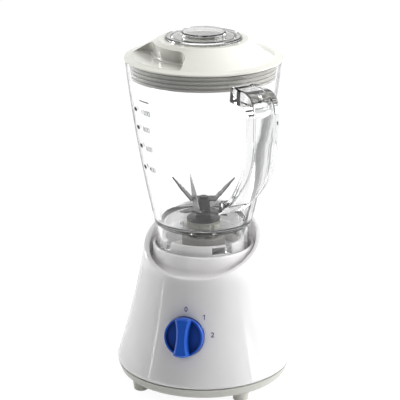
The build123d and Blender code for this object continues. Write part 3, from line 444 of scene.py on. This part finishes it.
def add_world():
    """White all round. Reflections show a dark room in front, and clear plastic shows dark sides."""
    world = bpy.data.worlds.new("studio")
    world.use_nodes = True
    tree = world.node_tree
    background = tree.nodes["Background"]
    background.inputs["Color"].default_value = (1, 1, 1, 1)
    path = tree.nodes.new("ShaderNodeLightPath").outputs
    place = tree.nodes.new("ShaderNodeTexCoord").outputs["Generated"]
    facing = measure(tree, "DOT_PRODUCT", place, towards(BACKDROP_AZIMUTH))
    mirrored = join(tree, "ShaderNodeMapRange", {1: -0.5, 2: 0.1, 3: DARK_FRONT}, {0: facing})
    through = join(tree, "ShaderNodeMapRange", {1: 0.25, 2: 0.4, 3: DARK_BEHIND}, {0: facing})
    level = join(tree, "ShaderNodeMix", {2: WORLD_LIGHT}, {0: path["Is Glossy Ray"], 3: mirrored})
    level = join(tree, "ShaderNodeMix", {}, {0: path["Is Transmission Ray"], 2: level, 3: through})
    level = join(tree, "ShaderNodeMix", {3: 1.0}, {0: path["Is Camera Ray"], 2: level})
    tree.links.new(level, background.inputs["Strength"])
    bpy.context.scene.world = world


def flag_whiteness(tree, turn):
    """The floor's whiteness round the blender, dark where a flag lies."""
    flags = tree.nodes.new("ShaderNodeValToRGB")
    stops = flags.color_ramp.elements
    widest = math.radians(FLAG_STOPS[-1][0])
    for stop in range(len(FLAG_STOPS) - len(stops)):
        stops.new(0.5)
    for stop, (degrees, white) in zip(stops, FLAG_STOPS):
        stop.position = 0.5 + math.radians(degrees) / widest / 2
        stop.color = (white, white, white, 1)
    place = join(tree, "ShaderNodeMapRange", {1: -widest, 2: widest}, {0: turn})
    tree.links.new(place, flags.inputs["Fac"])
    return flags.outputs["Color"]


def floor_through(tree, position, facing, faces):
    """The floor's brightness behind clear plastic, by the number of faces on the way."""
    beside = measure(tree, "DOT_PRODUCT", position, towards(BACKDROP_AZIMUTH + 90))
    turn = calculate(tree, "ARCTAN2", beside, facing)
    thick = calculate(tree, "GREATER_THAN", faces, THICK_FACES)
    single = calculate(tree, "LESS_THAN", faces, SINGLE_FACES)
    near = calculate(tree, "LESS_THAN", measure(tree, "LENGTH", position), FLAG_REACH)
    behind = calculate(tree, "GREATER_THAN", turn, math.radians(FLAG_END))
    near = calculate(tree, "MULTIPLY", calculate(tree, "MULTIPLY", near, single), behind)
    shown = calculate(tree, "MAXIMUM", near, thick)
    through = join(tree, "ShaderNodeMix", {2: 1.0}, {0: shown, 3: flag_whiteness(tree, turn)})
    return calculate(tree, "MULTIPLY", through, FLOOR_GLOW_THROUGH)


def floor_material():
    """White, with its front dark in reflections and with flags behind clear plastic."""
    made = Shader("floor", (0.9, 0.9, 0.9), 0.6)
    tree = made.tree
    path = tree.nodes.new("ShaderNodeLightPath").outputs
    position = tree.nodes.new("ShaderNodeNewGeometry").outputs["Position"]
    facing = measure(tree, "DOT_PRODUCT", position, towards(BACKDROP_AZIMUTH))
    mirrored = join(tree, "ShaderNodeMapRange", {1: -0.6, 2: -0.1, 3: DARK_FRONT}, {0: facing})
    through = floor_through(tree, position, facing, path["Transmission Depth"])
    level = join(tree, "ShaderNodeMix", {2: FLOOR_GLOW}, {0: path["Is Glossy Ray"], 3: mirrored})
    level = join(tree, "ShaderNodeMix", {}, {0: path["Is Transmission Ray"], 2: level, 3: through})
    glow = join(tree, "ShaderNodeEmission", {}, {1: level})
    seen = calculate(tree, "MAXIMUM", path["Is Camera Ray"], path["Is Glossy Ray"])
    share = calculate(tree, "MULTIPLY", seen, FLOOR_GLOW_SHARE)
    share = calculate(tree, "MAXIMUM", share, path["Is Transmission Ray"])
    mix = join(tree, "ShaderNodeMixShader", {}, {0: share, 1: made.shader.outputs["BSDF"], 2: glow})
    made.link(mix, tree.nodes["Material Output"].inputs["Surface"])
    return made.material


def add_floor():
    """A white floor that keeps the shadow."""
    mesh = bpy.data.meshes.new("floor")
    corners = ((-1, -1), (1, -1), (1, 1), (-1, 1))
    mesh.from_pydata([(x * FLOOR_REACH, y * FLOOR_REACH, 0) for x, y in corners], [], [(0, 1, 2, 3)])
    floor = bpy.data.objects.new("floor", mesh)
    bpy.context.scene.collection.objects.link(floor)
    mesh.materials.append(floor_material())


def add_lights():
    """Soft boxes at the right, the left and above."""
    card("key", (1.3, 1.4), (1.5, 0.25, 0.75), (0, 0, 0.15), 31)
    card("fill", (0.3, 1.0), (-1.4, 0.38, 0.55), (0, 0, 0.12), 11)
    card("strip", (0.05, 0.6), (-1.3, -0.8, 0.3), (0, 0, 0.1), 0.6)
    card("top", (1.2, 1.2), (0.2, 0.5, 1.7), (0, 0, 0.2), 7)
    card("bar", (0.9, 0.1), (0.0, -0.3, 1.3), (0, 0, 0.25), 1.4)


add_camera()
add_world()
add_floor()
add_lights()
dress_nodes()
add_dial()
add_graduation()
bpy.context.scene.view_settings.view_transform = "Standard"
